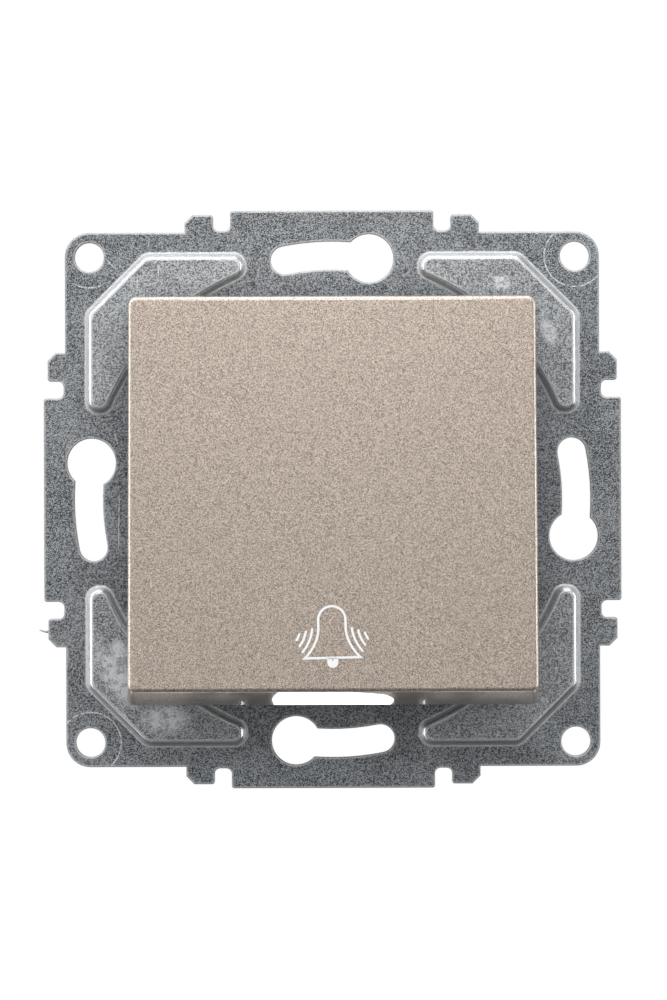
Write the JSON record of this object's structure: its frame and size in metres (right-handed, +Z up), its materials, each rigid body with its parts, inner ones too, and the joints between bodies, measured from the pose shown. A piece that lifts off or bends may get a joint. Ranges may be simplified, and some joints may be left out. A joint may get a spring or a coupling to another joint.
{
  "type": "doorbell switch",
  "caption": "Flush-mounted doorbell switch: a sprung rocker on a steel box plate with keyhole slots, and a housing behind it with a contact plunger and wire terminals.",
  "frame": {"origin": "centre of the steel plate, on its back face, which lies on the rim of the wall box", "axes": "+Z up the wall, -Y out of the wall towards the user, +X to the user's right"},
  "size_m": [0.071, 0.0392, 0.071],
  "materials": {
    "galvanised_steel": "spangled hot-dip zinc, satin",
    "champagne_lacquer": "fine metallic lacquer, semi-gloss",
    "white_nylon": "moulded, satin",
    "pale_grey_plastic": "moulded, matt",
    "ivory_plastic": "moulded, fine spark texture",
    "contact_brass": "stamped, plain",
    "contact_silver": "plain",
    "spring_steel": "drawn wire",
    "zinc_screw": "bright zinc"
  },
  "bodies": {
    "insert": {"mounting_plate": "galvanised_steel", "bearing_frame": "pale_grey_plastic", "rear_housing": "ivory_plastic", "contact_cover": "pale_grey_plastic", "housing_screws": "zinc_screw", "return_spring": "spring_steel", "fixed_tip_left": "contact_silver", "fixed_tip_right": "contact_silver", "fixed_contact_left": "contact_brass", "fixed_contact_right": "contact_brass", "terminal_left": "contact_brass", "terminal_right": "contact_brass"},
    "rocker": {"rocker_cap": "champagne_lacquer", "rocker_carrier": "white_nylon"},
    "plunger": {"contact_plunger": "white_nylon", "contact_bridge": "contact_brass", "bridge_tip_left": "contact_silver", "bridge_tip_right": "contact_silver"},
    "left_screw": {"terminal_screw_left": "zinc_screw"},
    "right_screw": {"terminal_screw_right": "zinc_screw"}
  },
  "joints": [
    {"name": "rocker_press", "type": "hinge", "parent": "insert", "child": "rocker", "pos_m": [0, -0.008, 0], "axis": [1, 0, 0], "range_deg": [0, 8], "stiffness_Nm_per_rad": 0.15, "springref_deg": -17.19},
    {"name": "plunger_slide", "type": "slide", "parent": "insert", "child": "plunger", "axis": [0, 1, 0], "range_m": [0, 0.00141], "deforming": ["return_spring"]},
    {"name": "left_screw_clamp", "type": "slide", "parent": "insert", "child": "left_screw", "axis": [0, -1, 0], "range_m": [0, 0.0021]},
    {"name": "right_screw_clamp", "type": "slide", "parent": "insert", "child": "right_screw", "axis": [0, -1, 0], "range_m": [0, 0.0021]}
  ],
  "couplings": [
    {"joint": "plunger_slide", "follows": "rocker_press", "m_per_rad": 0.01005}
  ]
}
